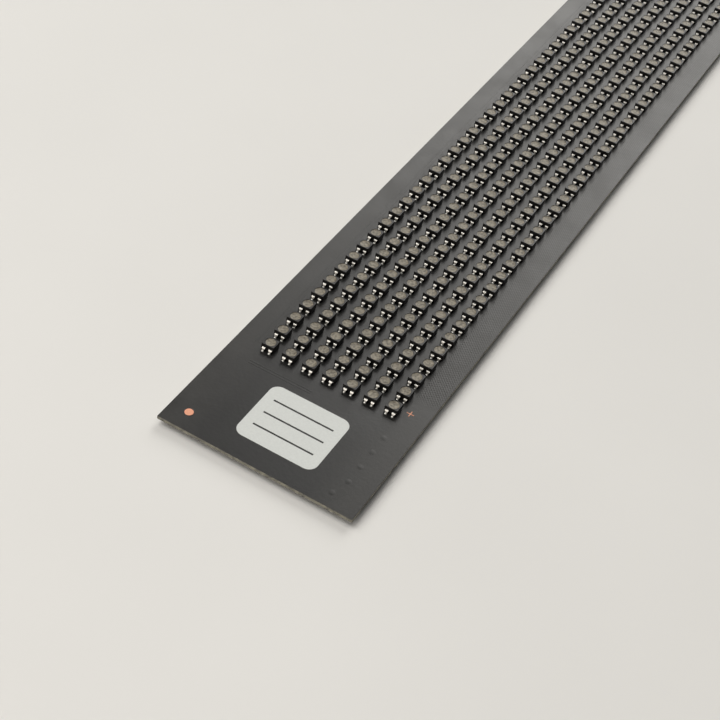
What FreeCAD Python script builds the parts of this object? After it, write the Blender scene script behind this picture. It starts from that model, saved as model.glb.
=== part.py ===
import FreeCAD, Part
import math
import os

import Sketcher
from FreeCAD import Placement, Rotation, Vector

# A strip-shaped LED dot matrix: seven rows of small four-lead LEDs at one pitch, soldered to the front
# of a thin fibreglass board, with a line of decoupling capacitors each side of the middle on its back.
# Millimetres. Origin under the middle of the board, on the surface that the capacitors stand on,
# +X across the rows, +Y along the board away from the printed end, +Z out of the lit face.

SIZES = [
    # the display grid
    ("Pitch", 3.3, "between LED centres, across and along"),
    ("RowCount", 7, "rows of LEDs across the board"),
    ("ColumnCount", 71, "columns of LEDs along the board"),
    # the board
    ("SideMargin", 5.1, "outer row's centre to the board's long edge"),
    ("EndMargin", 19.8, "end column's centre to the board's short edge"),
    ("BoardThickness", 0.6, "laminate with its solder mask"),
    # one LED, over the board's front face
    ("HousingWidth", 2.0, "moulded housing across the board"),
    ("HousingLength", 1.7, "moulded housing along the board, between its leads"),
    ("HousingTop", 1.1, "board to the housing's top face"),
    ("HousingChamfer", 0.04, "broken edge round the top face"),
    ("CupRadius", 0.79, "light cup at its rim"),
    ("CupFloorRadius", 0.6, "light cup at its floor"),
    ("CupDepth", 0.4, "rim to floor of the light cup"),
    ("ResinRecess", 0.05, "resin face below the rim"),
    # one lead, a strip out of the housing's side, folded down with its foot back under the housing
    ("LeadSpan", 2.24, "over the leads of both sides"),
    ("LeadThickness", 0.12, "folded strip"),
    ("LeadShoulder", 0.5, "board to the top of the lead"),
    ("LeadTopWidth", 0.5, "strip at the shoulder"),
    ("LeadFootWidth", 0.3, "strip at the board"),
    ("LeadBend", 0.08, "broken corner of the fold at the shoulder"),
    ("LeadFootLength", 0.4, "foot, back from the fold"),
    ("LeadSpacing", 1.06, "between the two leads of one side"),
    # one solder joint, a hollow fillet from the lead down to the board
    ("SolderReach", 0.18, "out from the lead along the board"),
    ("SolderClimb", 0.22, "up the lead"),
    ("SolderFootWidth", 0.44, "joint at the board"),
    ("SolderTopWidth", 0.3, "joint at its top"),
    ("SolderHollow", 0.4, "radius of the hollow face"),
    # one chip capacitor on the back
    ("CapacitorLength", 1.6, "over both end caps"),
    ("CapacitorWidth", 0.8, "along the board"),
    ("CapacitorDrop", 0.8, "board's back down to the surface that the part stands on"),
    ("EndCapLength", 0.35, "one metal end cap"),
    ("CapacitorLineSpacing", 16.5, "between the two lines of capacitors"),
    # bare copper and print
    ("CopperThickness", 0.035, "bare copper marks and pads"),
    ("DotRadius", 0.62, "round positioning mark"),
    ("DotInset", 3.0, "dot's centre to the two edges of its corner"),
    ("CrossSpan", 1.1, "cross mark from tip to tip"),
    ("CrossArm", 0.15, "width of the cross mark's arms"),
    ("CrossInset", 2.8, "cross mark's centre to the long edge"),
    ("CrossShift", 0.75, "cross mark past the end column's centre"),
    ("PadPitch", 2.54, "between wire pads"),
    ("PadWidth", 1.7, "one wire pad across the board"),
    ("PadLength", 3.2, "one wire pad along the board"),
    ("PadInset", 1.2, "wire pads to the short edge"),
    ("InkThickness", 0.025, "white print"),
    ("PanelWidth", 12.4, "write-on panel across the board"),
    ("PanelLength", 10.6, "write-on panel along the board"),
    ("PanelCorner", 1.4, "rounded corners of the panel"),
    ("PanelInset", 3.7, "panel to the short edge"),
    ("PanelShift", 0.6, "panel's centre from the board's middle line"),
    ("RuleWidth", 0.3, "bare rule lines in the panel"),
    ("RuleMargin", 1.5, "end of a rule line to the panel's side"),
    ("RulePitch", 2.6, "between rule lines"),
    ("SignSpan", 1.4, "plus and minus signs beside the wire pads"),
    ("SignStroke", 0.35, "stroke of the signs"),
    ("SignGap", 1.5, "centre of the signs and arrow past the wire pads"),
    ("ArrowRadius", 1.0, "round the arrow that gives the data direction"),
]
WIRE_PADS_PER_END = 4
RULE_LINES = 3
ENDS = (("near", -1), ("far", 1))

document = FreeCAD.newDocument("LedDotMatrix")
sheet = document.addObject("Spreadsheet::Sheet", "Sizes")
for number, (alias, size, meaning) in enumerate(SIZES, start=1):
    sheet.set("A%d" % number, meaning)
    sheet.set("B%d" % number, str(size))
    sheet.setAlias("B%d" % number, alias)
document.recompute()

# Places that several pieces share, as expressions over the sheet
ROWS = "round(Sizes.RowCount)"
COLUMNS = "round(Sizes.ColumnCount)"
BOARD_WIDTH = "((%s - 1) * Sizes.Pitch + 2 * Sizes.SideMargin)" % ROWS
BOARD_LENGTH = "((%s - 1) * Sizes.Pitch + 2 * Sizes.EndMargin)" % COLUMNS
BOARD_BACK = "Sizes.CapacitorDrop"
BOARD_FRONT = "(Sizes.CapacitorDrop + Sizes.BoardThickness)"
HOUSING_FACE = "(Sizes.HousingLength / 2)"
LEAD_FACE = "(Sizes.LeadSpan / 2)"
LEAD_INSIDE = "(Sizes.LeadSpan / 2 - Sizes.LeadThickness)"
CUP_FLOOR = "(Sizes.HousingTop - Sizes.CupDepth)"


def measure(expression):
    """The value of an expression over the sheet."""
    return float(sheet.evalExpression(expression))


def bind(thing, **expressions):
    """Ties properties to the sheet. An underscore in a name stands for a dot."""
    for name, expression in expressions.items():
        thing.setExpression(name.replace("_", "."), expression)


def place(thing, x, y, z):
    bind(thing, Placement_Base_x=x, Placement_Base_y=y, Placement_Base_z=z)


def add_block(name, width, length, height, x, y, z):
    """A block centred over x and y, with its underside at z."""
    block = document.addObject("Part::Box", name)
    bind(block, Length=width, Width=length, Height=height)
    place(block, "%s - %s / 2" % (x, width), "%s - %s / 2" % (y, length), z)
    return block


def add_group(label, pieces):
    """One sub-part of several separate solids."""
    group = document.addObject("Part::Compound", label)
    group.Links = pieces
    return group


def add_sketch(body, name, role):
    sketch = body.newObject("Sketcher::SketchObject", name)
    support = next(f for f in body.Origin.OriginFeatures if f.Role == role)
    sketch.AttachmentSupport = (support, [""])
    sketch.MapMode = "FlatFace"
    return sketch


def pin(sketch, line, x, y, end=1):
    """Holds one end of a line at expressions x and y."""
    for kind, expression in (("DistanceX", x), ("DistanceY", y)):
        held = Sketcher.Constraint(kind, -1, 1, line, end, measure(expression))
        sketch.setExpression("Constraints[%d]" % sketch.addConstraint(held), expression)


def draw_outline(sketch, corners):
    """A closed outline of straight lines, each corner held by its own two expressions."""
    first = sketch.GeometryCount
    points = [Vector(measure(x), measure(y), 0) for x, y in corners]
    count = len(points)
    for i in range(count):
        sketch.addGeometry(Part.LineSegment(points[i], points[(i + 1) % count]))
    for i in range(count):
        following = first + (i + 1) % count
        sketch.addConstraint(Sketcher.Constraint("Coincident", first + i, 2, following, 1))
    for i, (x, y) in enumerate(corners):
        pin(sketch, first + i, x, y)


def rectangle(x, y, width, length):
    """The corners of a rectangle centred on x and y."""
    left, right = "%s - %s / 2" % (x, width), "%s + %s / 2" % (x, width)
    low, high = "%s - %s / 2" % (y, length), "%s + %s / 2" % (y, length)
    return [(left, low), (right, low), (right, high), (left, high)]


def add_pad(body, sketch, name, length, midplane=False):
    pad = body.newObject("PartDesign::Pad", name)
    pad.Profile = sketch
    pad.Midplane = midplane
    bind(pad, Length=length)
    return pad


def cut_through(body, sketch, name):
    """Cuts a sketch's outlines through the body, to both sides of the sketch."""
    pocket = body.newObject("PartDesign::Pocket", name)
    pocket.Profile = sketch
    pocket.Type = "ThroughAll"
    pocket.Midplane = True
    return pocket


def top_face(feature):
    """The name of a shape's highest face."""
    faces = feature.Shape.Faces
    highest = max(range(len(faces)), key=lambda i: faces[i].CenterOfMass.z)
    return "Face%d" % (highest + 1)


def upright_edges(feature):
    """The names of a shape's edges that run along Z."""
    names = []
    for number, edge in enumerate(feature.Shape.Edges, start=1):
        start, end = edge.Vertexes[0].Point, edge.Vertexes[-1].Point
        if math.hypot(start.x - end.x, start.y - end.y) < 1e-6 < abs(start.z - end.z):
            names.append("Edge%d" % number)
    return names


# The board: one laminate sheet with square corners
def make_board():
    body = document.addObject("PartDesign::Body", "board")
    sketch = add_sketch(body, "BoardOutline", "XY_Plane")
    bind(sketch, AttachmentOffset_Base_z=BOARD_BACK)
    draw_outline(sketch, rectangle("0", "0", BOARD_WIDTH, BOARD_LENGTH))
    add_pad(body, sketch, "BoardSheet", "Sizes.BoardThickness")
    return body


# One LED's housing: a moulded block with a broken top edge and a conical light cup.
# It stands on the feet of its leads, a strip's thickness above the board.
def make_housing():
    body = document.addObject("PartDesign::Body", "OneHousing")
    sketch = add_sketch(body, "HousingOutline", "XY_Plane")
    bind(sketch, AttachmentOffset_Base_z="Sizes.LeadThickness")
    draw_outline(sketch, rectangle("0", "0", "Sizes.HousingWidth", "Sizes.HousingLength"))
    block = add_pad(body, sketch, "HousingBlock", "Sizes.HousingTop - Sizes.LeadThickness")
    document.recompute()
    edge = body.newObject("PartDesign::Chamfer", "HousingEdge")
    edge.Base = (block, [top_face(block)])
    bind(edge, Size="Sizes.HousingChamfer")
    section = add_sketch(body, "CupSection", "XZ_Plane")
    draw_outline(section, [("0", CUP_FLOOR), ("Sizes.CupFloorRadius", CUP_FLOOR),
                           ("Sizes.CupRadius", "Sizes.HousingTop"), ("0", "Sizes.HousingTop")])
    cup = body.newObject("PartDesign::Groove", "LightCup")
    cup.Profile = section
    cup.ReferenceAxis = (section, ["V_Axis"])
    cup.Angle = 360
    return body


# One LED's window: the milky resin that fills the cup and seals the chips in it
def make_window():
    body = document.addObject("PartDesign::Body", "OneWindow")
    section = add_sketch(body, "ResinSection", "XZ_Plane")
    slope = "(Sizes.CupRadius - Sizes.CupFloorRadius) / Sizes.CupDepth"
    face = "Sizes.HousingTop - Sizes.ResinRecess"
    draw_outline(section, [("0", CUP_FLOOR), ("Sizes.CupFloorRadius", CUP_FLOOR),
                           ("Sizes.CupRadius - Sizes.ResinRecess * %s" % slope, face), ("0", face)])
    resin = body.newObject("PartDesign::Revolution", "Resin")
    resin.Profile = section
    resin.ReferenceAxis = (section, ["V_Axis"])
    resin.Angle = 360
    return body


# One lead, on the +Y side: a strip that leaves the housing's side, folds down and turns back under it
def make_lead():
    body = document.addObject("PartDesign::Body", "OneLead")
    section = add_sketch(body, "LeadSection", "YZ_Plane")
    toe = "%s - Sizes.LeadFootLength" % LEAD_INSIDE
    underside = "Sizes.LeadShoulder - Sizes.LeadThickness"
    draw_outline(section, [(HOUSING_FACE, "Sizes.LeadShoulder"), (HOUSING_FACE, underside),
                           (LEAD_INSIDE, underside), (LEAD_INSIDE, "Sizes.LeadThickness"),
                           (toe, "Sizes.LeadThickness"), (toe, "0"), (LEAD_FACE, "0"),
                           (LEAD_FACE, "Sizes.LeadShoulder - Sizes.LeadBend"),
                           ("%s - Sizes.LeadBend" % LEAD_FACE, "Sizes.LeadShoulder")])
    add_pad(body, section, "LeadStrip", "Sizes.LeadTopWidth", midplane=True)
    taper = add_sketch(body, "LeadTaperOutline", "XZ_Plane")
    for side in ("-", ""):
        shoulder = "%sSizes.LeadTopWidth / 2" % side
        foot = "%sSizes.LeadFootWidth / 2" % side
        draw_outline(taper, [(shoulder, "0"), (foot, "0"), (shoulder, "Sizes.LeadShoulder")])
    cut_through(body, taper, "LeadTaper")
    return body


# One solder joint, on the +Y side: a wedge with a hollow face, wider at the board
def make_joint():
    body = document.addObject("PartDesign::Body", "OneJoint")
    section = add_sketch(body, "JointSection", "YZ_Plane")
    reach, climb = measure("Sizes.SolderReach"), measure("Sizes.SolderClimb")
    radius = measure("Sizes.SolderHollow")
    heel = Vector(measure(LEAD_FACE), 0, 0)
    tip, top = heel + Vector(reach, 0, 0), heel + Vector(0, climb, 0)
    half_chord = math.hypot(reach, climb) / 2
    outwards = Vector(climb, reach, 0).normalize()
    centre = (tip + top) * 0.5 + outwards * math.sqrt(radius ** 2 - half_chord ** 2)
    turns = [math.atan2(point.y - centre.y, point.x - centre.x) for point in (top, tip)]
    section.addGeometry(Part.LineSegment(top, heel))
    section.addGeometry(Part.LineSegment(heel, tip))
    section.addGeometry(Part.ArcOfCircle(Part.Circle(centre, Vector(0, 0, 1), radius), *turns))
    section.addConstraint(Sketcher.Constraint("Coincident", 0, 2, 1, 1))
    section.addConstraint(Sketcher.Constraint("Coincident", 1, 2, 2, 2))
    section.addConstraint(Sketcher.Constraint("Coincident", 2, 1, 0, 1))
    pin(section, 0, LEAD_FACE, "Sizes.SolderClimb")
    pin(section, 1, LEAD_FACE, "0")
    pin(section, 1, "%s + Sizes.SolderReach" % LEAD_FACE, "0", end=2)
    hollow = section.addConstraint(Sketcher.Constraint("Radius", 2, radius))
    section.setExpression("Constraints[%d]" % hollow, "Sizes.SolderHollow")
    add_pad(body, section, "JointWedge", "Sizes.SolderFootWidth", midplane=True)
    taper = add_sketch(body, "JointTaperOutline", "XZ_Plane")
    for side in ("-", ""):
        foot = "%sSizes.SolderFootWidth / 2" % side
        crown = "%sSizes.SolderTopWidth / 2" % side
        draw_outline(taper, [(foot, "0"), (foot, "Sizes.SolderClimb"), (crown, "Sizes.SolderClimb")])
    cut_through(body, taper, "JointTaper")
    return body


# One row of one kind of LED piece, as separate solids along the board
def make_row(label, one_piece, row, places):
    """places are where the piece sits in one LED; row counts from the left."""
    columns = int(measure(COLUMNS))
    pitch = measure("Sizes.Pitch")
    solid = one_piece.Shape.Solids[0]
    solids = []
    for column in range(columns):
        led = Placement(Vector(0, (column - (columns - 1) / 2) * pitch, 0), Rotation())
        for spot in places:
            piece = solid.copy()
            piece.Placement = led.multiply(spot)
            solids.append(piece)
    feature = document.addObject("Part::Feature", label)
    feature.Shape = Part.makeCompound(solids)
    place(feature, "(%d - (%s - 1) / 2) * Sizes.Pitch" % (row, ROWS), "0", BOARD_FRONT)
    return feature


def make_rows():
    """Housings, windows, leads and solder joints, a sub-part of each for every row."""
    housing, window, lead, joint = make_housing(), make_window(), make_lead(), make_joint()
    document.recompute()
    middle = [Placement()]
    half_spacing = measure("Sizes.LeadSpacing") / 2
    corners = [Placement(Vector(side * half_spacing, 0, 0), Rotation(Vector(0, 0, 1), angle))
               for side in (-1, 1) for angle in (0, 180)]
    rows = []
    for row in range(int(measure(ROWS))):
        rows.append(make_row("led_housings_row_%d" % (row + 1), housing, row, middle))
        rows.append(make_row("led_windows_row_%d" % (row + 1), window, row, middle))
        rows.append(make_row("led_leads_row_%d" % (row + 1), lead, row, corners))
        rows.append(make_row("solder_joints_row_%d" % (row + 1), joint, row, corners))
    return rows


# Chip capacitors on the back, one for each column, left and right in turn
def make_capacitors():
    columns = int(measure(COLUMNS))
    core_length = "(Sizes.CapacitorLength - 2 * Sizes.EndCapLength)"
    cap_centre = "(Sizes.CapacitorLength / 2 - Sizes.EndCapLength / 2)"
    core = add_block("OneCore", core_length, "Sizes.CapacitorWidth", "Sizes.CapacitorDrop", "0", "0", "0")
    cap = add_block("OneEndCap", "Sizes.EndCapLength", "Sizes.CapacitorWidth", "Sizes.CapacitorDrop",
                    "0", "0", "0")
    document.recompute()
    core_solid, cap_solid = core.Shape.Solids[0], cap.Shape.Solids[0]
    cores, caps = [], []
    for column in range(columns):
        line = -1 if column % 2 == 0 else 1
        centre = Vector(line * measure("Sizes.CapacitorLineSpacing") / 2,
                        (column - (columns - 1) / 2) * measure("Sizes.Pitch"), 0)
        cores.append(core_solid.translated(centre))
        for side in (-1, 1):
            caps.append(cap_solid.translated(centre + Vector(side * measure(cap_centre), 0, 0)))
    made = []
    for label, solids in (("capacitor_cores", cores), ("capacitor_end_caps", caps)):
        feature = document.addObject("Part::Feature", label)
        feature.Shape = Part.makeCompound(solids)
        place(feature, "0", "0", "0")
        made.append(feature)
    return made


# Round positioning marks, bare copper, in two opposite corners of the front
def make_dots():
    dots = []
    for end, sign in ENDS:
        dot = document.addObject("Part::Cylinder", "Dot_%s" % end)
        bind(dot, Radius="Sizes.DotRadius", Height="Sizes.CopperThickness")
        place(dot, "%d * (%s / 2 - Sizes.DotInset)" % (sign, BOARD_WIDTH),
              "%d * (%s / 2 - Sizes.DotInset)" % (sign, BOARD_LENGTH), BOARD_FRONT)
        dots.append(dot)
    return add_group("copper_dots", dots)


# Small copper crosses beside the first and last column
def make_crosses():
    crosses = []
    for end, sign in ENDS:
        x = "%d * (%s / 2 - Sizes.CrossInset)" % (-sign, BOARD_WIDTH)
        y = "%d * (%s / 2 - Sizes.EndMargin - Sizes.CrossShift)" % (sign, BOARD_LENGTH)
        across = add_block("CrossBar_%s" % end, "Sizes.CrossSpan", "Sizes.CrossArm",
                           "Sizes.CopperThickness", x, y, BOARD_FRONT)
        along = add_block("CrossPost_%s" % end, "Sizes.CrossArm", "Sizes.CrossSpan",
                          "Sizes.CopperThickness", x, y, BOARD_FRONT)
        cross = document.addObject("Part::Fuse", "Cross_%s" % end)
        cross.Base = across
        cross.Tool = along
        cross.Refine = True
        crosses.append(cross)
    return add_group("copper_crosses", crosses)


# Wire pads on the back, at each end, for the supply and the data in and out
def pad_place(number, sign):
    """The centre of a wire pad of one end."""
    return ("(%d - %d / 2) * Sizes.PadPitch" % (number, WIRE_PADS_PER_END - 1),
            "%d * (%s / 2 - Sizes.PadInset - Sizes.PadLength / 2)" % (sign, BOARD_LENGTH))


def make_wire_pads(end, sign):
    pads = []
    for number in range(WIRE_PADS_PER_END):
        x, y = pad_place(number, sign)
        pads.append(add_block("WirePad_%s_%d" % (end, number + 1), "Sizes.PadWidth", "Sizes.PadLength",
                              "Sizes.CopperThickness", x, y, "%s - Sizes.CopperThickness" % BOARD_BACK))
    return add_group("wire_pads_%s" % end, pads)


# White print on the front: a write-on panel with bare rule lines
def make_panel():
    body = document.addObject("PartDesign::Body", "write_on_panel")
    y = "(-%s / 2 + Sizes.PanelInset + Sizes.PanelLength / 2)" % BOARD_LENGTH
    sketch = add_sketch(body, "PanelOutline", "XY_Plane")
    bind(sketch, AttachmentOffset_Base_z=BOARD_FRONT)
    draw_outline(sketch, rectangle("Sizes.PanelShift", y, "Sizes.PanelWidth", "Sizes.PanelLength"))
    sheet_of_ink = add_pad(body, sketch, "PanelInk", "Sizes.InkThickness")
    document.recompute()
    corners = body.newObject("PartDesign::Fillet", "PanelCorners")
    corners.Base = (sheet_of_ink, upright_edges(sheet_of_ink))
    bind(corners, Radius="Sizes.PanelCorner")
    rules = add_sketch(body, "RuleLines", "XY_Plane")
    bind(rules, AttachmentOffset_Base_z=BOARD_FRONT)
    for line in range(RULE_LINES):
        rule_y = "(%s + (%d - %d / 2) * Sizes.RulePitch)" % (y, line, RULE_LINES - 1)
        draw_outline(rules, rectangle("Sizes.PanelShift", rule_y,
                                      "(Sizes.PanelWidth - 2 * Sizes.RuleMargin)", "Sizes.RuleWidth"))
    cut_through(body, rules, "BareRules")
    return body


# White print on the back: a plus, a minus and a data arrow beside each end's wire pads
def make_signs(end, sign):
    z = "%s - Sizes.InkThickness" % BOARD_BACK
    x_plus, pad_y = pad_place(0, sign)
    x_minus = pad_place(WIRE_PADS_PER_END - 1, sign)[0]
    y = "(%s - %d * (Sizes.PadLength / 2 + Sizes.SignGap))" % (pad_y, sign)
    bar = add_block("PlusBar_%s" % end, "Sizes.SignSpan", "Sizes.SignStroke", "Sizes.InkThickness",
                    x_plus, y, z)
    post = add_block("PlusPost_%s" % end, "Sizes.SignStroke", "Sizes.SignSpan", "Sizes.InkThickness",
                     x_plus, y, z)
    plus = document.addObject("Part::Fuse", "Plus_%s" % end)
    plus.Base = bar
    plus.Tool = post
    plus.Refine = True
    minus = add_block("Minus_%s" % end, "Sizes.SignSpan", "Sizes.SignStroke", "Sizes.InkThickness",
                      x_minus, y, z)
    arrow = document.addObject("Part::Prism", "Arrow_%s" % end)
    arrow.Polygon = 3
    arrow.Placement = Placement(Vector(), Rotation(Vector(0, 0, 1), 90))
    bind(arrow, Circumradius="Sizes.ArrowRadius", Height="Sizes.InkThickness")
    place(arrow, "0", y, z)
    return add_group("back_signs_%s" % end, [plus, minus, arrow])


subparts = [make_board(), make_panel(), make_dots(), make_crosses()]
for end, sign in ENDS:
    subparts.append(make_wire_pads(end, sign))
    subparts.append(make_signs(end, sign))
subparts += make_capacitors()
subparts += make_rows()
document.recompute()

for thing in document.Objects:
    if "Invalid" in thing.State or "Error" in thing.State:
        raise RuntimeError("%s did not compute: %s" % (thing.Label, thing.State))
for subpart in subparts:
    if subpart.Shape.isNull() or not subpart.Shape.isValid():
        raise RuntimeError("%s has no valid shape" % subpart.Label)

os.makedirs("parts", exist_ok=True)
for subpart in subparts:
    subpart.Shape.exportStep("parts/%s.step" % subpart.Label)
print("%d sub-parts, %d solids" % (len(subparts), sum(len(s.Shape.Solids) for s in subparts)))
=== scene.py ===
import math
import random

import bmesh
import bpy
import numpy as np
from mathutils import Matrix, Vector


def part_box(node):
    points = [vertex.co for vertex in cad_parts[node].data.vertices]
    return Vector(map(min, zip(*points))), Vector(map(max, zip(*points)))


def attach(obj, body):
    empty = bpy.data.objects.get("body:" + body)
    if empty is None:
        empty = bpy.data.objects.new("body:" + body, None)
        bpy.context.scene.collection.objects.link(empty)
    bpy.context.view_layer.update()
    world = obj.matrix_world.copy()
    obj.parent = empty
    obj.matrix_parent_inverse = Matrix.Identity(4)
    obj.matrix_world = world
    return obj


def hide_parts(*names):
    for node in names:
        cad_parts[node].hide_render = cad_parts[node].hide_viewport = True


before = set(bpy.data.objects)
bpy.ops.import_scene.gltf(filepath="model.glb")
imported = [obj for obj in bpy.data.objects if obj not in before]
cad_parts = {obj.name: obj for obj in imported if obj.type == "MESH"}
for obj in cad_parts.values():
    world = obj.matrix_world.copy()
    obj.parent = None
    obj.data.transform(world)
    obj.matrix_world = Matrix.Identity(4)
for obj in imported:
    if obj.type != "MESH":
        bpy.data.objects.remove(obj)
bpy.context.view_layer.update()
bpy.ops.object.select_all(action="DESELECT")

# Sizes in millimetres, brought to metres by MM, and how near two heights count as the same
MM = 0.001
CLOSE = 0.001 * MM

board_low, board_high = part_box("board")
FRONT = board_high.z
rows = sorted(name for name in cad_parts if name.startswith("led_windows_row_"))
first_low, first_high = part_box(rows[0])
last_low, last_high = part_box(rows[-1])
first_row_x = (first_low.x + first_high.x) / 2
last_row_x = (last_low.x + last_high.x) / 2
PITCH = (last_row_x - first_row_x) / (len(rows) - 1)
resin_width = first_high.x - first_low.x
first_led_y = first_low.y + resin_width / 2
COLUMNS = round((first_high.y - first_low.y - resin_width) / PITCH) + 1


def linear(shade):
    """An sRGB hex colour as linear RGBA."""
    parts = [int(shade[i:i + 2], 16) / 255 for i in (1, 3, 5)]
    return [c / 12.92 if c <= 0.04045 else ((c + 0.055) / 1.055) ** 2.4 for c in parts] + [1.0]


def add(tree, kind, inputs=None, **settings):
    """Adds one node. An input is a value, or (node, output) to link from."""
    made = tree.nodes.new(kind)
    for name, value in settings.items():
        setattr(made, name, value)
    for socket, value in (inputs or {}).items():
        if isinstance(value, tuple) and isinstance(value[0], bpy.types.Node):
            tree.links.new(value[0].outputs[value[1]], made.inputs[socket])
        else:
            made.inputs[socket].default_value = value
    return made


def begin_material(name):
    """An empty material with its shader, and the coordinates that its patterns read."""
    material = bpy.data.materials.new(name)
    material.use_nodes = True
    tree = material.node_tree
    tree.nodes.clear()
    shader = add(tree, "ShaderNodeBsdfPrincipled")
    add(tree, "ShaderNodeOutputMaterial", {"Surface": (shader, "BSDF")})
    place = (add(tree, "ShaderNodeTexCoord"), "Object")
    return material, tree, shader, place


def per_metre(millimetres):
    """The scale of a noise whose features are that large."""
    return 1 / (millimetres * MM)


# At scale 1 the crests of a wave pattern are this far apart, in metres
WAVE_CRESTS = math.tau / 20


def waves(millimetres):
    """The scale of a wave pattern whose crests are that far apart."""
    return WAVE_CRESTS / (millimetres * MM)


# The copper under the right margin is a fine mesh. It is drawn a little coarse, to show at all.
# Millimetres: its pitch, where it starts, and over how much it fades in
MESH_PITCH = 0.34
MESH_FROM_X = 11.3
MESH_FADE_X = 0.2
MESH_FROM_Y = -112.5
MESH_FADE_Y = 2.0
# Between the margins, among the LEDs, the mask is darkened with painted shade of the LEDs
PAINTED_SHADE_FROM_X = 8.0
PAINTED_SHADE_TO_X = 13.0


def solder_mask():
    # Epoxy solder mask, black and satin, screened over copper: broad soft reflections, a faint
    # orange peel, cloudy patches where the coat is thicker, painted shade darkening the field
    # between the margins among the LEDs, and the copper mesh showing as relief
    material, tree, shader, place = begin_material("black epoxy solder mask")
    cloud = add(tree, "ShaderNodeTexNoise", {"Vector": place, "Scale": per_metre(5), "Detail": 6.0,
                                             "Roughness": 0.7})
    patches = add(tree, "ShaderNodeMapRange", {"Value": (cloud, "Fac"), "From Min": 0.3,
                                               "From Max": 0.7})
    tint = add(tree, "ShaderNodeMix", {0: (patches, "Result"), 6: linear("#1b1a18"),
                                       7: linear("#282725")}, data_type="RGBA")
    apart = add(tree, "ShaderNodeSeparateXYZ", {"Vector": place})
    aside = add(tree, "ShaderNodeMath", {0: (apart, "X")}, operation="ABSOLUTE")
    # Painted shade: between the margins, where the LEDs stand, the mask is mixed to a darker tint
    out_of_painted_shade = add(tree, "ShaderNodeMapRange", {"Value": (aside, "Value"),
                                                "From Min": PAINTED_SHADE_FROM_X * MM,
                                                "From Max": PAINTED_SHADE_TO_X * MM})
    painted_shade_tint = add(tree, "ShaderNodeMix", {0: (patches, "Result"), 6: linear("#050404"),
                                             7: linear("#0e0d0c")}, data_type="RGBA")
    tint_and_painted_shade = add(tree, "ShaderNodeMix", {0: (out_of_painted_shade, "Result"), 6: (painted_shade_tint, 2), 7: (tint, 2)},
               data_type="RGBA")
    tree.links.new(tint_and_painted_shade.outputs[2], shader.inputs["Base Color"])
    shader.inputs["Specular IOR Level"].default_value = 0.42
    rough = add(tree, "ShaderNodeMapRange", {"Value": (patches, "Result"), "To Min": 0.3,
                                             "To Max": 0.41})
    tree.links.new(rough.outputs["Result"], shader.inputs["Roughness"])
    peel = add(tree, "ShaderNodeTexNoise", {"Vector": place, "Scale": per_metre(0.5), "Detail": 3.0})
    bump = add(tree, "ShaderNodeBump", {"Height": (peel, "Fac"), "Strength": 0.55,
                                        "Distance": 0.02 * MM})
    turned = add(tree, "ShaderNodeMapping", {"Vector": place, "Rotation": (0, 0, math.radians(45))})
    strands = [add(tree, "ShaderNodeTexWave", {"Vector": (turned, "Vector"),
                                               "Scale": waves(MESH_PITCH)},
                   bands_direction=way) for way in ("X", "Y")]
    mesh = add(tree, "ShaderNodeMath", {0: (strands[0], "Fac"), 1: (strands[1], "Fac")},
               operation="MAXIMUM")
    from_x = add(tree, "ShaderNodeMapRange", {"Value": (apart, "X"), "From Min": MESH_FROM_X * MM,
                                              "From Max": (MESH_FROM_X + MESH_FADE_X) * MM})
    from_y = add(tree, "ShaderNodeMapRange", {"Value": (apart, "Y"), "From Min": MESH_FROM_Y * MM,
                                              "From Max": (MESH_FROM_Y + MESH_FADE_Y) * MM})
    margin = add(tree, "ShaderNodeMath", {0: (from_x, "Result"), 1: (from_y, "Result")},
                 operation="MULTIPLY")
    relief = add(tree, "ShaderNodeMath", {0: (mesh, "Value"), 1: (margin, "Value")},
                 operation="MULTIPLY")
    woven = add(tree, "ShaderNodeBump", {"Height": (relief, "Value"), "Strength": 0.45,
                                         "Distance": 0.03 * MM, "Normal": (bump, "Normal")})
    tree.links.new(woven.outputs["Normal"], shader.inputs["Normal"])
    return material


def laminate_edge():
    # Glass-fibre epoxy laminate, sawn: tan grey, with the cut ends of the yarn as paler
    # yellowish spots
    material, tree, shader, place = begin_material("sawn glass fibre laminate")
    yarn = add(tree, "ShaderNodeTexNoise", {"Vector": place, "Scale": per_metre(0.9), "Detail": 4.0,
                                            "Roughness": 0.65})
    strands = add(tree, "ShaderNodeMapRange", {"Value": (yarn, "Fac"), "From Min": 0.4,
                                               "From Max": 0.65})
    tint = add(tree, "ShaderNodeMix", {0: (strands, "Result"), 6: linear("#636159"),
                                       7: linear("#93907f")}, data_type="RGBA")
    tree.links.new(tint.outputs[2], shader.inputs["Base Color"])
    shader.inputs["Roughness"].default_value = 0.7
    fuzz = add(tree, "ShaderNodeTexNoise", {"Vector": place, "Scale": per_metre(0.12), "Detail": 3.0})
    bump = add(tree, "ShaderNodeBump", {"Height": (fuzz, "Fac"), "Strength": 0.5,
                                        "Distance": 0.03 * MM})
    tree.links.new(bump.outputs["Normal"], shader.inputs["Normal"])
    return material


def moulded_housing():
    # Polyphthalamide, injection moulded in a spark-eroded tool: black, matt, with a fine even grain
    material, tree, shader, place = begin_material("black moulded polyphthalamide")
    grain = add(tree, "ShaderNodeTexNoise", {"Vector": place, "Scale": per_metre(0.08), "Detail": 3.0})
    tint = add(tree, "ShaderNodeMix", {0: (grain, "Fac"), 6: linear("#0b0a09"), 7: linear("#131110")},
               data_type="RGBA")
    tree.links.new(tint.outputs[2], shader.inputs["Base Color"])
    shader.inputs["Roughness"].default_value = 0.38
    shader.inputs["IOR"].default_value = 1.47
    bump = add(tree, "ShaderNodeBump", {"Height": (grain, "Fac"), "Strength": 0.35,
                                        "Distance": 0.008 * MM})
    tree.links.new(bump.outputs["Normal"], shader.inputs["Normal"])
    return material


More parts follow.
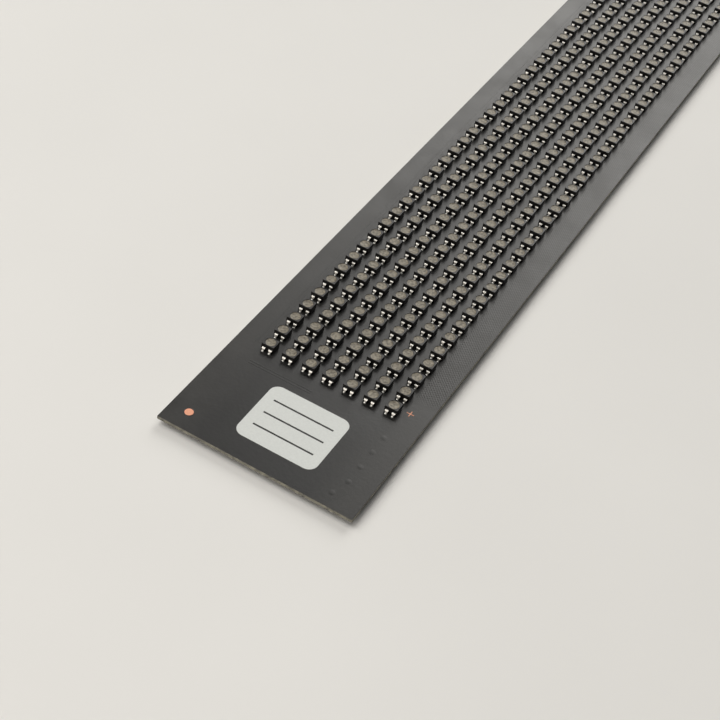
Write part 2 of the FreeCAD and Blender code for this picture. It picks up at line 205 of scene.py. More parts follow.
def milky_resin():
    # Silicone resin with diffusing powder, cast: beige, slightly see-into, with a soft sheen and
    # fine mottling
    material, tree, shader, place = begin_material("milky cast silicone resin")
    powder = add(tree, "ShaderNodeTexNoise", {"Vector": place, "Scale": per_metre(0.35), "Detail": 4.0,
                                              "Roughness": 0.6})
    clumps = add(tree, "ShaderNodeMapRange", {"Value": (powder, "Fac"), "From Min": 0.34,
                                              "From Max": 0.66})
    tint = add(tree, "ShaderNodeMix", {0: (clumps, "Result"), 6: linear("#534d41"),
                                       7: linear("#938c7d")}, data_type="RGBA")
    tree.links.new(tint.outputs[2], shader.inputs["Base Color"])
    shader.inputs["Roughness"].default_value = 0.45
    shader.inputs["Subsurface Weight"].default_value = 0.15
    shader.inputs["Subsurface Radius"].default_value = (0.3 * MM, 0.24 * MM, 0.18 * MM)
    shader.inputs["IOR"].default_value = 1.41
    bump = add(tree, "ShaderNodeBump", {"Height": (powder, "Fac"), "Strength": 0.2,
                                        "Distance": 0.01 * MM})
    tree.links.new(bump.outputs["Normal"], shader.inputs["Normal"])
    return material


def plated_lead():
    # Copper alloy strip, silver plated and folded: bright, with faint rolling lines down the strip
    material, tree, shader, place = begin_material("silver plated copper strip")
    shader.inputs["Metallic"].default_value = 1.0
    rolled = add(tree, "ShaderNodeMapping", {"Vector": place, "Scale": (8.0, 1.0, 1.0)})
    lines = add(tree, "ShaderNodeTexNoise", {"Vector": (rolled, "Vector"),
                                             "Scale": per_metre(0.3)})
    tint = add(tree, "ShaderNodeMix", {0: (lines, "Fac"), 6: linear("#bebcb5"), 7: linear("#d8d6d0")},
               data_type="RGBA")
    tree.links.new(tint.outputs[2], shader.inputs["Base Color"])
    rough = add(tree, "ShaderNodeMapRange", {"Value": (lines, "Fac"), "To Min": 0.28, "To Max": 0.42})
    tree.links.new(rough.outputs["Result"], shader.inputs["Roughness"])
    return material


def reflowed_solder():
    # Tin alloy solder, reflowed: bright and smooth, with the slight ripples it froze with
    material, tree, shader, place = begin_material("reflowed tin solder")
    shader.inputs["Metallic"].default_value = 1.0
    ripple = add(tree, "ShaderNodeTexNoise", {"Vector": place, "Scale": per_metre(0.18),
                                              "Detail": 2.0})
    tint = add(tree, "ShaderNodeMix", {0: (ripple, "Fac"), 6: linear("#aba9a3"), 7: linear("#cbcac5")},
               data_type="RGBA")
    tree.links.new(tint.outputs[2], shader.inputs["Base Color"])
    shader.inputs["Roughness"].default_value = 0.38
    bump = add(tree, "ShaderNodeBump", {"Height": (ripple, "Fac"), "Strength": 0.4,
                                        "Distance": 0.02 * MM})
    tree.links.new(bump.outputs["Normal"], shader.inputs["Normal"])
    return material


def bare_copper():
    # Copper foil, etched and left bare under a clear preservative: pink orange, softly shining
    material, tree, shader, place = begin_material("etched bare copper foil")
    shader.inputs["Metallic"].default_value = 1.0
    etch = add(tree, "ShaderNodeTexNoise", {"Vector": place, "Scale": per_metre(0.25), "Detail": 3.0})
    tint = add(tree, "ShaderNodeMix", {0: (etch, "Fac"), 6: linear("#c88f74"), 7: linear("#dea88f")},
               data_type="RGBA")
    tree.links.new(tint.outputs[2], shader.inputs["Base Color"])
    shader.inputs["Roughness"].default_value = 0.58
    bump = add(tree, "ShaderNodeBump", {"Height": (etch, "Fac"), "Strength": 0.3,
                                        "Distance": 0.01 * MM})
    tree.links.new(bump.outputs["Normal"], shader.inputs["Normal"])
    return material


def printed_ink():
    # Epoxy ink, screen printed: matt off-white, slightly uneven where the mesh let more through
    material, tree, shader, place = begin_material("screen printed white epoxy ink")
    weave = add(tree, "ShaderNodeTexNoise", {"Vector": place, "Scale": per_metre(0.3), "Detail": 3.0})
    tint = add(tree, "ShaderNodeMix", {0: (weave, "Fac"), 6: linear("#c4c7c4"), 7: linear("#d4d7d4")},
               data_type="RGBA")
    tree.links.new(tint.outputs[2], shader.inputs["Base Color"])
    shader.inputs["Roughness"].default_value = 0.62
    bump = add(tree, "ShaderNodeBump", {"Height": (weave, "Fac"), "Strength": 0.2,
                                        "Distance": 0.01 * MM})
    tree.links.new(bump.outputs["Normal"], shader.inputs["Normal"])
    return material


def fired_ceramic():
    # Barium titanate ceramic, fired and tumbled: tan brown, matt, speckled
    material, tree, shader, place = begin_material("fired barium titanate ceramic")
    speckle = add(tree, "ShaderNodeTexNoise", {"Vector": place, "Scale": per_metre(0.06),
                                               "Detail": 2.0})
    tint = add(tree, "ShaderNodeMix", {0: (speckle, "Fac"), 6: linear("#6d543f"),
                                       7: linear("#8f7256")}, data_type="RGBA")
    tree.links.new(tint.outputs[2], shader.inputs["Base Color"])
    shader.inputs["Roughness"].default_value = 0.5
    return material


def matt_tin():
    # Electroplated tin: pale grey, matt, finely crystalline
    material, tree, shader, place = begin_material("electroplated matt tin")
    shader.inputs["Metallic"].default_value = 1.0
    crystal = add(tree, "ShaderNodeTexNoise", {"Vector": place, "Scale": per_metre(0.1),
                                               "Detail": 3.0})
    tint = add(tree, "ShaderNodeMix", {0: (crystal, "Fac"), 6: linear("#c4c2bc"),
                                       7: linear("#dedcd7")}, data_type="RGBA")
    tree.links.new(tint.outputs[2], shader.inputs["Base Color"])
    shader.inputs["Roughness"].default_value = 0.42
    bump = add(tree, "ShaderNodeBump", {"Height": (crystal, "Fac"), "Strength": 0.25,
                                        "Distance": 0.01 * MM})
    tree.links.new(bump.outputs["Normal"], shader.inputs["Normal"])
    return material


MASK = solder_mask()
LAMINATE = laminate_edge()
HOUSING = moulded_housing()
RESIN = milky_resin()
LEAD = plated_lead()
SOLDER = reflowed_solder()
COPPER = bare_copper()
INK = printed_ink()
CERAMIC = fired_ceramic()
TIN = matt_tin()


# Modelling: a piece is the active object, and is shaped in edit mode
def start_piece(name, material):
    """Names the primitive just added, and puts its place into its mesh."""
    piece = bpy.context.object
    piece.name = name
    piece.data.name = name
    piece.data.materials.append(material)
    bpy.ops.object.transform_apply(location=True, rotation=True, scale=True)
    return piece


def open_for_edit(piece):
    bpy.ops.object.select_all(action="DESELECT")
    bpy.context.view_layer.objects.active = piece
    piece.select_set(True)
    bpy.ops.object.mode_set(mode="EDIT")
    bpy.ops.mesh.select_mode(type="FACE")


def close_edit():
    bpy.ops.object.mode_set(mode="OBJECT")


def pick_faces(piece, wanted):
    """Selects just the faces whose centre and normal pass the test."""
    bpy.ops.mesh.select_mode(type="FACE")
    bpy.ops.mesh.select_all(action="DESELECT")
    mesh = bmesh.from_edit_mesh(piece.data)
    for face in mesh.faces:
        face.select_set(wanted(face.calc_center_median(), face.normal))
    bmesh.update_edit_mesh(piece.data)


def pick_edges(piece, wanted):
    """Selects just the edges whose two ends pass the test."""
    bpy.ops.mesh.select_mode(type="EDGE")
    bpy.ops.mesh.select_all(action="DESELECT")
    mesh = bmesh.from_edit_mesh(piece.data)
    for edge in mesh.edges:
        edge.select_set(wanted(edge.verts[0].co, edge.verts[1].co))
    bmesh.update_edit_mesh(piece.data)


def finish_with(piece, kind, **settings):
    """Adds a modifier and applies it."""
    bpy.ops.object.select_all(action="DESELECT")
    bpy.context.view_layer.objects.active = piece
    piece.select_set(True)
    modifier = piece.modifiers.new(kind.title(), kind)
    for name, value in settings.items():
        setattr(modifier, name, value)
    bpy.ops.object.modifier_apply(modifier=modifier.name)


def smooth(piece, degrees=35):
    """Smooth across the gentle edges, while each large flat face still shades flat."""
    bpy.ops.object.select_all(action="DESELECT")
    bpy.context.view_layer.objects.active = piece
    piece.select_set(True)
    bpy.ops.object.shade_smooth_by_angle(angle=math.radians(degrees))
    finish_with(piece, "WEIGHTED_NORMAL", keep_sharp=True, weight=100)


def face_outwards(piece):
    open_for_edit(piece)
    bpy.ops.mesh.select_all(action="SELECT")
    bpy.ops.mesh.normals_make_consistent(inside=False)
    close_edit()


def shift(piece, x, y, z):
    """Moves a piece in its own mesh, so that its object stays at the origin."""
    piece.data.transform(Matrix.Translation((x, y, z)))


def another(piece, name):
    """A copy with its own mesh."""
    twin = piece.copy()
    twin.data = piece.data.copy()
    twin.name = name
    twin.data.name = name
    bpy.context.collection.objects.link(twin)
    return twin


def join(name, pieces):
    bpy.ops.object.select_all(action="DESELECT")
    for piece in pieces:
        piece.select_set(True)
    bpy.context.view_layer.objects.active = pieces[0]
    bpy.ops.object.join()
    pieces[0].name = name
    pieces[0].data.name = name
    return pieces[0]


def block(name, material, low, high):
    """A block between two corners."""
    low = Vector(low)
    high = Vector(high)
    bpy.ops.mesh.primitive_cube_add(size=1, location=(low + high) / 2)
    bpy.context.object.scale = high - low
    return start_piece(name, material)


def plate(name, material, low, high):
    """A single face between two corners."""
    low = Vector(low)
    high = Vector(high)
    bpy.ops.mesh.primitive_plane_add(size=1, location=(low + high) / 2)
    bpy.context.object.scale = (high.x - low.x, high.y - low.y, 1)
    return start_piece(name, material)


def stands_for(piece, slot, *nodes):
    """The piece rides on the board and takes the place of CAD nodes."""
    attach(piece, "root")
    if nodes:
        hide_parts(*nodes)


# Along a direction, the normal of a face that looks sideways reaches less than this, and that
# of a face that looks straight along it reaches more
SIDEWAYS = 0.3
FACING = 0.9

# The board
EDGE_BREAK = 0.03 * MM


def model_board():
    piece = block("board_laminate", MASK, board_low, board_high)
    piece.data.materials.append(LAMINATE)
    open_for_edit(piece)
    pick_edges(piece, lambda a, b: abs(a.z - b.z) < EDGE_BREAK)
    bpy.ops.mesh.bevel(offset=EDGE_BREAK, segments=2)
    pick_faces(piece, lambda centre, normal: abs(normal.z) < SIDEWAYS)
    piece.active_material_index = 1
    bpy.ops.object.material_slot_assign()
    close_edit()
    smooth(piece)
    stands_for(piece, "solder_mask", "board")


# One LED stands at the origin with the board's front at z 0, and is repeated afterwards
HOUSING_WIDTH = 2.0 * MM
HOUSING_LENGTH = 1.7 * MM
HOUSING_TOP = 1.085 * MM
STANDOFF = 0.12 * MM
CORNER_ROUND = 0.07 * MM
TOP_BREAK = 0.03 * MM
CUP_RIM = 0.79 * MM
CUP_FLOOR = 0.6 * MM
CUP_DEPTH = 0.4 * MM
RIM_BREAK = 0.015 * MM
CUP_SIDES = 24
CUTTER_SPARE = 0.1 * MM
RESIN_RECESS = 0.05 * MM
# The resin's skin, step by step from the rim inwards, as (inset, sink), millimetres
SKIN_STEPS = ((0.05, 0.02), (0.16, 0.03), (0.22, 0.015))


def model_housing():
    """The moulding: upright edges and top edge broken, and the light cup sunk into it."""
    piece = block("led_housing", HOUSING, (-HOUSING_WIDTH / 2, -HOUSING_LENGTH / 2, STANDOFF),
                  (HOUSING_WIDTH / 2, HOUSING_LENGTH / 2, HOUSING_TOP))
    open_for_edit(piece)
    pick_edges(piece, lambda a, b: abs(a.z - b.z) > CORNER_ROUND)
    bpy.ops.mesh.bevel(offset=CORNER_ROUND, segments=2)
    pick_edges(piece, lambda a, b: min(a.z, b.z) > HOUSING_TOP - EDGE_BREAK)
    bpy.ops.mesh.bevel(offset=TOP_BREAK, segments=1)
    close_edit()
    slope = (CUP_RIM - CUP_FLOOR) / CUP_DEPTH
    reach = CUP_DEPTH + CUTTER_SPARE
    bpy.ops.mesh.primitive_cone_add(vertices=CUP_SIDES, radius1=CUP_FLOOR,
                                    radius2=CUP_RIM + slope * CUTTER_SPARE, depth=reach,
                                    location=(0, 0, HOUSING_TOP - CUP_DEPTH + reach / 2))
    cutter = start_piece("cup_cutter", HOUSING)
    finish_with(piece, "BOOLEAN", operation="DIFFERENCE", object=cutter, solver="EXACT")
    bpy.data.objects.remove(cutter)
    open_for_edit(piece)
    pick_edges(piece, lambda a, b: min(a.z, b.z) > HOUSING_TOP - EDGE_BREAK / 2
               and max(a.xy.length, b.xy.length) < CUP_RIM + EDGE_BREAK)
    bpy.ops.mesh.bevel(offset=RIM_BREAK, segments=1)
    close_edit()
    smooth(piece, 28)
    return piece


def model_window():
    """The resin: its skin climbs a little at the rim and sinks in the middle."""
    skin = HOUSING_TOP - RESIN_RECESS
    radius = CUP_RIM - (CUP_RIM - CUP_FLOOR) * RESIN_RECESS / CUP_DEPTH
    floor = HOUSING_TOP - CUP_DEPTH
    bpy.ops.mesh.primitive_cone_add(vertices=CUP_SIDES, radius1=CUP_FLOOR, radius2=radius,
                                    depth=skin - floor, location=(0, 0, (skin + floor) / 2))
    piece = start_piece("led_window", RESIN)
    open_for_edit(piece)
    pick_faces(piece, lambda centre, normal: normal.z > FACING)
    for inset, sink in SKIN_STEPS:
        bpy.ops.mesh.inset(thickness=inset * MM)
        bpy.ops.transform.translate(value=(0, 0, -sink * MM))
    close_edit()
    smooth(piece, 50)
    return piece


# One lead: a strip drawn out step by step along its fold, as (out, up, half width), millimetres
LEADS = 4
LEAD_THICKNESS = 0.12 * MM
LEAD_SPACING = 1.06 * MM
LEAD_LINE = ((0.60, 0.06, 0.15), (0.98, 0.06, 0.15), (1.05, 0.08, 0.155), (1.06, 0.12, 0.155),
             (1.04, 0.19, 0.155), (1.015, 0.26, 0.175), (0.99, 0.32, 0.21), (0.965, 0.375, 0.24),
             (0.935, 0.415, 0.25), (0.9, 0.44, 0.25), (0.84, 0.44, 0.25))


def model_lead():
    """From the foot under the housing, up past its side and over the shoulder into it."""
    out, up, half = LEAD_LINE[0]
    foot_end = LEAD_LINE[1][0] * MM
    piece = plate("led_lead", LEAD, (-half * MM, out * MM, up * MM), (half * MM, foot_end, up * MM))
    open_for_edit(piece)
    pick_edges(piece, lambda a, b: min(a.y, b.y) > foot_end - CLOSE)
    for (out, up, half), (next_out, next_up, next_half) in zip(LEAD_LINE[1:], LEAD_LINE[2:]):
        bpy.ops.mesh.extrude_region_move(
            TRANSFORM_OT_translate={"value": (0, (next_out - out) * MM, (next_up - up) * MM)})
        bpy.ops.transform.resize(value=(next_half / half, 1, 1),
                                 center_override=(0, next_out * MM, next_up * MM))
    close_edit()
    finish_with(piece, "SOLIDIFY", thickness=LEAD_THICKNESS, offset=0.0)
    face_outwards(piece)
    smooth(piece, 50)
    return piece


# One solder joint: rings drawn up the lead's outer face, as (up, reach, half width), millimetres
LEAD_FACE = 1.12 * MM
JOINT_RINGS = ((0.0, 0.18, 0.22), (0.04, 0.11, 0.2), (0.09, 0.06, 0.18), (0.15, 0.03, 0.165),
               (0.21, 0.012, 0.15))


def model_joint():
    """A hollow fillet: half a ring on the board, drawn up the lead and in towards it."""
    up, reach, half = JOINT_RINGS[0]
    bpy.ops.mesh.primitive_circle_add(vertices=12, radius=half * MM, fill_type="NGON",
                                      location=(0, LEAD_FACE, up * MM))
    piece = start_piece("solder_joint", SOLDER)
    open_for_edit(piece)
    bpy.ops.mesh.select_all(action="SELECT")
    bpy.ops.mesh.bisect(plane_co=(0, LEAD_FACE, 0), plane_no=(0, 1, 0), clear_inner=True)
    bpy.ops.mesh.select_all(action="SELECT")
    bpy.ops.transform.resize(value=(1, reach / half, 1), center_override=(0, LEAD_FACE, 0))
    for (up, reach, half), (next_up, next_reach, next_half) in zip(JOINT_RINGS, JOINT_RINGS[1:]):
        bpy.ops.mesh.extrude_region_move(
            TRANSFORM_OT_translate={"value": (0, 0, (next_up - up) * MM)})
        bpy.ops.transform.resize(value=(next_half / half, next_reach / reach, 1),
                                 center_override=(0, LEAD_FACE, next_up * MM))
    close_edit()
    face_outwards(piece)
    smooth(piece, 60)
    return piece


def four_of(name, piece):
    """The four leads or joints of one LED, two on each side."""
    sides = []
    for turn in (0, math.pi):
        for x in (-LEAD_SPACING / 2, LEAD_SPACING / 2):
            side = another(piece, name)
            shift(side, x, 0, 0)
            side.data.transform(Matrix.Rotation(turn, 4, "Z"))
            sides.append(side)
    bpy.data.objects.remove(piece)
    return join(name, sides)


# Each LED sits a little off its place, turned and tipped by a few tenths of a degree, as reflow
# leaves it
LED_SHIFT = 0.03 * MM
LED_TURN = math.radians(0.9)
LED_TIP = math.radians(0.5)
SEED = 7
chance = random.Random(SEED)


def either_way(most):
    return chance.uniform(-most, most)


def seat():
    """How one LED sits: its offset, its turn, and its tip about X and Y."""
    offset = Vector((either_way(LED_SHIFT), either_way(LED_SHIFT), 0))
    return offset, either_way(LED_TURN), either_way(LED_TIP), either_way(LED_TIP)


sitting = [[seat() for column in range(COLUMNS)] for row in rows]


def populate(piece, family, slot, tips=1, swell=0):
    """
    Seven rows of the piece, each with its own mesh, in place of the family's CAD rows.
    Solder doesn't tip with its LED, and no two joints hold the same amount of it.
    """
    points = np.empty(len(piece.data.vertices) * 3)
    piece.data.vertices.foreach_get("co", points)
    points = points.reshape(-1, 3)
    finish_with(piece, "ARRAY", count=COLUMNS, use_relative_offset=False, use_constant_offset=True,
                constant_offset_displace=(0, PITCH, 0))
    for number, row in enumerate(sitting):
        copy = another(piece, f"{family}_row_{number + 1}_finished")
        placed = []
        for column, (offset, turned, tipped_x, tipped_y) in enumerate(row):
            led = points.copy()
            if swell:
                for joint in np.split(led, LEADS):
                    side = math.copysign(1, joint[:, 1].mean())
                    reach = chance.uniform(1 - swell, 1 + swell / 2)
                    joint[:, 1] = side * (LEAD_FACE + (np.abs(joint[:, 1]) - LEAD_FACE) * reach)
                    joint[:, 2] *= chance.uniform(1 - swell, 1)
            turn = (Matrix.Rotation(turned, 3, "Z") @ Matrix.Rotation(tipped_x * tips, 3, "X")
                    @ Matrix.Rotation(tipped_y * tips, 3, "Y"))
            spot = Vector((first_row_x + number * PITCH, first_led_y + column * PITCH, FRONT))
            spot += offset
            placed.append(led @ np.array(turn).T + np.array(spot))
        copy.data.vertices.foreach_set("co", np.concatenate(placed).ravel())
        copy.data.update()
        stands_for(copy, slot, f"{family}_row_{number + 1}")
    bpy.data.objects.remove(piece)


# The copper marks at the corners: a dot and a cross at each end, with the mask's lip round the dot
DOT_RADIUS = 0.62 * MM
DOT_SIDES = 40
DOT_BREAK = 0.012 * MM
DOT_LIP = 0.07 * MM
LIP_FLATTENED = 0.45


def model_dots():
    low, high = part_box("copper_dots")
    dots = []
    lips = []
    flatten = Matrix.Diagonal((1, 1, LIP_FLATTENED, 1))
    for x, y in ((low.x + DOT_RADIUS, low.y + DOT_RADIUS),
                 (high.x - DOT_RADIUS, high.y - DOT_RADIUS)):
        bpy.ops.mesh.primitive_cylinder_add(vertices=DOT_SIDES, radius=DOT_RADIUS,
                                            depth=high.z - low.z,
                                            location=(x, y, (low.z + high.z) / 2))
        dot = start_piece("copper_dot", COPPER)
        open_for_edit(dot)
        pick_edges(dot, lambda a, b: min(a.z, b.z) > high.z - CLOSE)
        bpy.ops.mesh.bevel(offset=DOT_BREAK, segments=2)
        close_edit()
        dots.append(dot)
        bpy.ops.mesh.primitive_torus_add(major_segments=DOT_SIDES, minor_segments=8,
                                         location=(x, y, FRONT), major_radius=DOT_RADIUS + DOT_LIP,
                                         minor_radius=DOT_LIP)
        lip = start_piece("mask_lip", MASK)
        lip.data.transform(Matrix.Translation((0, 0, FRONT)) @ flatten
                           @ Matrix.Translation((0, 0, -FRONT)))
        lips.append(lip)
    dot = join("copper_dots_finished", dots)
    smooth(dot)
    stands_for(dot, "bare_copper", "copper_dots")
    lip = join("mask_openings", lips)
    smooth(lip)
    stands_for(lip, "solder_mask")


CROSS_ARM = 0.1 * MM
CROSS_SPAN = 1.1 * MM
CROSS_BREAK = 0.01 * MM


def model_crosses():
    low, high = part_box("copper_crosses")
    half = CROSS_SPAN / 2
    arm = CROSS_ARM / 2
    crosses = []
    for x, y in ((high.x - half, low.y + half), (low.x + half, high.y - half)):
        cross = block("copper_cross", COPPER, (x - arm, y - arm, low.z), (x + arm, y + arm, high.z))
        open_for_edit(cross)
        for way in (Vector((1, 0, 0)), Vector((-1, 0, 0)), Vector((0, 1, 0)), Vector((0, -1, 0))):
            pick_faces(cross, lambda centre, normal: normal.dot(way) > FACING
                       and (centre - Vector((x, y, centre.z))).length < arm * 1.1)
            bpy.ops.mesh.extrude_region_move(TRANSFORM_OT_translate={"value": way * (half - arm)})
        pick_edges(cross, lambda a, b: min(a.z, b.z) > high.z - CLOSE)
        bpy.ops.mesh.bevel(offset=CROSS_BREAK, segments=1)
        close_edit()
        crosses.append(cross)
    cross = join("copper_crosses_finished", crosses)
    smooth(cross)
    stands_for(cross, "bare_copper", "copper_crosses")


# The printed panel to write on, with its rules left open in the ink
INK_THICKNESS = 0.025 * MM
PANEL_CORNER = 1.4 * MM
RULE_WIDTH = 0.3 * MM
RULE_MARGIN = 1.5 * MM
RULE_PITCH = 2.6 * MM


def model_panel():
    low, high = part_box("write_on_panel")
    piece = block("write_on_panel_finished", INK, low, high)
    open_for_edit(piece)
    pick_edges(piece, lambda a, b: abs(a.z - b.z) > INK_THICKNESS / 2)
    bpy.ops.mesh.bevel(offset=PANEL_CORNER, segments=10)
    close_edit()
    middle = (low.y + high.y) / 2
    for step in (-1, 0, 1):
        y = middle + step * RULE_PITCH
        rule = block("rule_cutter", INK,
                     (low.x + RULE_MARGIN, y - RULE_WIDTH / 2, low.z - INK_THICKNESS),
                     (high.x - RULE_MARGIN, y + RULE_WIDTH / 2, high.z + INK_THICKNESS))
        finish_with(piece, "BOOLEAN", operation="DIFFERENCE", object=rule, solver="EXACT")
        bpy.data.objects.remove(rule)
    smooth(piece)
    stands_for(piece, "white_ink", "write_on_panel")


# The back: capacitors in two lines, and the wire pads of both ends
CAPACITOR_LENGTH = 1.6 * MM
CAPACITOR_WIDTH = 0.8 * MM
CORE_BREAK = 0.05 * MM
END_CAP_LENGTH = 0.35 * MM
END_CAP_PROUD = 0.012 * MM
END_CAP_BREAK = 0.06 * MM
# The core starts inside its end cap, at this share of the cap's length
CORE_START = 0.6


def model_capacitors():
    low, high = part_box("capacitor_end_caps")
    line_x = high.x - CAPACITOR_LENGTH / 2
    core_end = CAPACITOR_LENGTH / 2 - END_CAP_LENGTH * CORE_START
    core_side = CAPACITOR_WIDTH / 2 - END_CAP_PROUD
    core = block("capacitor_core", CERAMIC, (-core_end, -core_side, low.z + END_CAP_PROUD),
                 (core_end, core_side, high.z - END_CAP_PROUD))
    open_for_edit(core)
    pick_edges(core, lambda a, b: abs(a.x - b.x) > END_CAP_LENGTH)
    bpy.ops.mesh.bevel(offset=CORE_BREAK, segments=2)
    close_edit()
    smooth(core)
    caps = []
    for side in (-1, 1):
        ends = sorted((side * CAPACITOR_LENGTH / 2, side * (CAPACITOR_LENGTH / 2 - END_CAP_LENGTH)))
        cap = block("capacitor_end_cap", TIN, (ends[0], -CAPACITOR_WIDTH / 2, low.z),
                    (ends[1], CAPACITOR_WIDTH / 2, high.z))
        open_for_edit(cap)
        pick_edges(cap, lambda a, b: True)
        bpy.ops.mesh.bevel(offset=END_CAP_BREAK, segments=2)
        close_edit()
        smooth(cap)
        caps.append(cap)
    cap = join("capacitor_end_cap", caps)
    for part, family, slot in ((core, "capacitor_cores", "capacitor_ceramic"),
                               (cap, "capacitor_end_caps", "tinned_metal")):
        lines = []
        for start, x in ((0, -line_x), (1, line_x)):
            line = another(part, family)
            shift(line, x, first_led_y + start * PITCH, 0)
            finish_with(line, "ARRAY", count=(COLUMNS + 1 - start) // 2, use_relative_offset=False,
                        use_constant_offset=True, constant_offset_displace=(0, PITCH * 2, 0))
            lines.append(line)
        bpy.data.objects.remove(part)
        line = join(f"{family}_finished", lines)
        stands_for(line, slot, family)


PAD_WIDTH = 1.7 * MM
PAD_PITCH = 2.54 * MM
PAD_CORNER = 0.25 * MM
PAD_CROWN = 0.22 * MM
PADS = 4


def model_wire_pads():
    """Tinned pads, each with a low crown of levelled tin."""
    for end in ("near", "far"):
        low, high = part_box(f"wire_pads_{end}")
        pads = []
        for number in range(PADS):
            x = low.x + number * PAD_PITCH
            pad = block("wire_pad", TIN, (x, low.y, (low.z + high.z) / 2),
                        (x + PAD_WIDTH, high.y, high.z))
            open_for_edit(pad)
            pick_edges(pad, lambda a, b: abs(a.z - b.z) > CLOSE)
            bpy.ops.mesh.bevel(offset=PAD_CORNER, segments=4)
            pick_faces(pad, lambda centre, normal: normal.z < -FACING)
            bpy.ops.mesh.inset(thickness=PAD_CROWN)
            bpy.ops.transform.translate(value=(0, 0, (low.z - high.z) / 2))
            close_edit()
            pads.append(pad)
        pad = join(f"wire_pads_{end}_finished", pads)
        smooth(pad, 60)
        stands_for(pad, "tinned_copper", f"wire_pads_{end}")


# The mask follows the copper under it: vias that it fills, and traces. A via's dome goes up in
# steps, as (share of its radius, share of its rise). Places are in millimetres, across from the
# board's middle and along from the first LED
VIA_RADIUS = 0.5 * MM
VIA_RISE = 0.02 * MM
VIA_SUNK = 0.9
VIA_STEPS = ((0.3, 0.35), (0.25, 0.4), (0.2, 0.15))
TRACE_WIDTH = 0.25 * MM
TRACE_RISE = 0.018 * MM
TRACE_ROUND = 0.9
NEAR_VIAS = ((11.4, -5.2), (11.4, -8.3), (11.4, -11.5), (11.4, -14.6), (10.6, -17.4))
NEAR_TRACES = (((-10.7, -3.7), (-1.0, -3.7)), ((-10.7, -4.15), (-1.0, -4.15)))
LONG_TRACES = (-11.7, -12.25)


def model_covered_vias():
    vias = []
    for x, y in NEAR_VIAS:
        for side in (1, -1):
            bpy.ops.mesh.primitive_cylinder_add(vertices=20, radius=VIA_RADIUS, depth=VIA_RISE,
                                                location=(side * x * MM, side * (first_led_y + y * MM),
                                                          FRONT + VIA_RISE / 2))
            via = start_piece("covered_via", MASK)
            open_for_edit(via)
            pick_faces(via, lambda centre, normal: normal.z > FACING)
            bpy.ops.transform.translate(value=(0, 0, -VIA_RISE * VIA_SUNK))
            for inset, rise in VIA_STEPS:
                bpy.ops.mesh.inset(thickness=VIA_RADIUS * inset)
                bpy.ops.transform.translate(value=(0, 0, VIA_RISE * rise))
            close_edit()
            vias.append(via)
    via = join("covered_vias", vias)
    smooth(via, 70)
    stands_for(via, "solder_mask")


def model_covered_traces():
    half = TRACE_WIDTH / 2
    runs = [((x * MM, first_led_y), (x * MM, -first_led_y)) for x in LONG_TRACES]
    for (x, y), (end_x, end_y) in NEAR_TRACES:
        runs.append(((x * MM, first_led_y + y * MM), (end_x * MM, first_led_y + end_y * MM)))
    traces = []
    for (x, y), (end_x, end_y) in runs:
        trace = block("covered_trace", MASK, (x - half, y - half, FRONT - TRACE_RISE),
                      (end_x + half, end_y + half, FRONT + TRACE_RISE))
        open_for_edit(trace)
        pick_edges(trace, lambda a, b: min(a.z, b.z) > FRONT)
        bpy.ops.mesh.bevel(offset=TRACE_RISE * TRACE_ROUND, segments=2)
        close_edit()
        traces.append(trace)
    trace = join("covered_traces", traces)
    smooth(trace, 60)
    stands_for(trace, "solder_mask")


def ink_back_signs():
    """The plus, arrow and minus keep their CAD shapes, in ink."""
    for node in ("back_signs_near", "back_signs_far"):
        for slot in bpy.data.objects[node].material_slots:
            slot.material = INK


model_board()
populate(model_housing(), "led_housings", "housing_black")
populate(model_window(), "led_windows", "milky_resin")
populate(four_of("led_leads", model_lead()), "led_leads", "plated_lead")
populate(four_of("solder_joints", model_joint()), "solder_joints", "solder", tips=0, swell=0.2)
model_dots()
model_crosses()
model_panel()
model_capacitors()
model_wire_pads()
model_covered_vias()
model_covered_traces()
ink_back_signs()


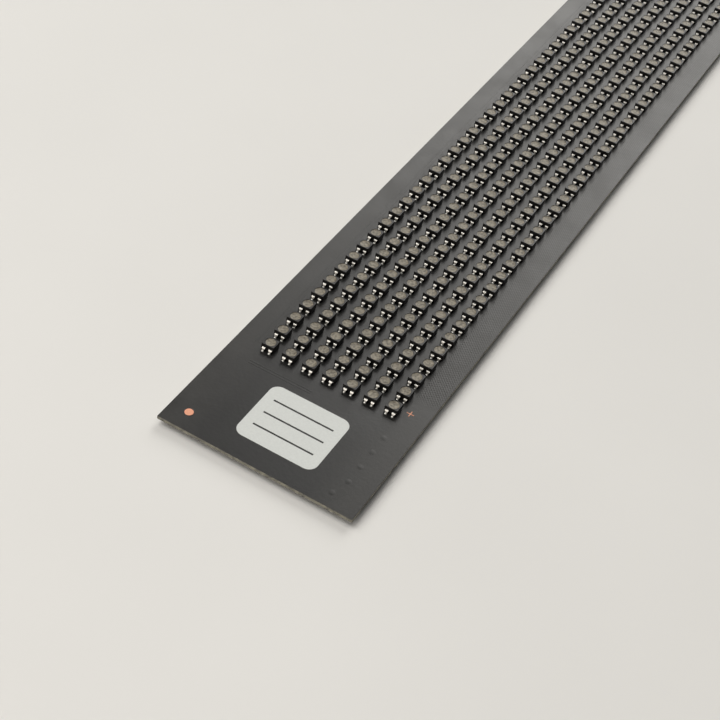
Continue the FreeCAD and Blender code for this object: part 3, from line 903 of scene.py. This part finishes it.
# The studio: a pale floor, one soft lamp high at the left, one beyond the far end, where the
# board mirrors it, and a small low one on the camera's side. Places and sizes in metres
LAMPS = (("left softbox", (-0.574, -0.185, 0.92), 1.0, 9.2, "#fffdf9"),
         ("far window lamp", (-0.11, 1.055, 0.752), 0.9, 10.5, "#fffdf9"),
         ("camera side lamp", (-0.14, -0.52, 0.2), 0.35, 0.95, "#fff8f2"))
ROOM_GLOW = 0.065
FLOOR_SIZE = 6
CAMERA_PLACE = (61.15 * MM, -250.07 * MM, 151.76 * MM)
CAMERA_TURN = (44.9306, -7.1034, 30.1449)
LENS = 76.56
SENSOR = 36


def floor_paint():
    # Emulsion paint, rolled: pale, matt, and a little cloudy
    material, tree, shader, place = begin_material("pale matt floor paint")
    roller = add(tree, "ShaderNodeTexNoise", {"Vector": place, "Scale": per_metre(40), "Detail": 2.0})
    tint = add(tree, "ShaderNodeMix", {0: (roller, "Fac"), 6: linear("#dddcd9"), 7: linear("#e3e2df")},
               data_type="RGBA")
    tree.links.new(tint.outputs[2], shader.inputs["Base Color"])
    shader.inputs["Roughness"].default_value = 0.9
    return material


def model_floor():
    bpy.ops.mesh.primitive_plane_add(size=FLOOR_SIZE)
    floor = start_piece("studio_floor", floor_paint())


def hang_lamp(name, place, size, watts, shade):
    """A square soft lamp, turned to the middle of the board."""
    bpy.ops.object.light_add(type="AREA", location=place)
    lamp = bpy.context.object
    lamp.name = name
    lamp.data.size = size
    lamp.data.energy = watts
    lamp.data.color = linear(shade)[:3]
    lamp.rotation_euler = (-Vector(place)).to_track_quat("-Z", "Y").to_euler()


def light_room():
    world = bpy.data.worlds.new("pale room")
    bpy.context.scene.world = world
    world.use_nodes = True
    world.node_tree.nodes.clear()
    glow = add(world.node_tree, "ShaderNodeBackground", {"Color": linear("#f4f4f2"),
                                                         "Strength": ROOM_GLOW})
    add(world.node_tree, "ShaderNodeOutputWorld", {"Surface": (glow, "Background")})
    for lamp in LAMPS:
        hang_lamp(*lamp)


def set_camera():
    """The photograph's viewpoint: beyond the near right corner, looking down at the strip."""
    bpy.ops.object.camera_add(location=CAMERA_PLACE,
                              rotation=[math.radians(angle) for angle in CAMERA_TURN])
    camera = bpy.context.object
    camera.data.sensor_width = SENSOR
    camera.data.lens = LENS
    camera.data.clip_start = 1 * MM
    bpy.context.scene.camera = camera


model_floor()
light_room()
set_camera()
bpy.context.scene.view_settings.view_transform = "Standard"
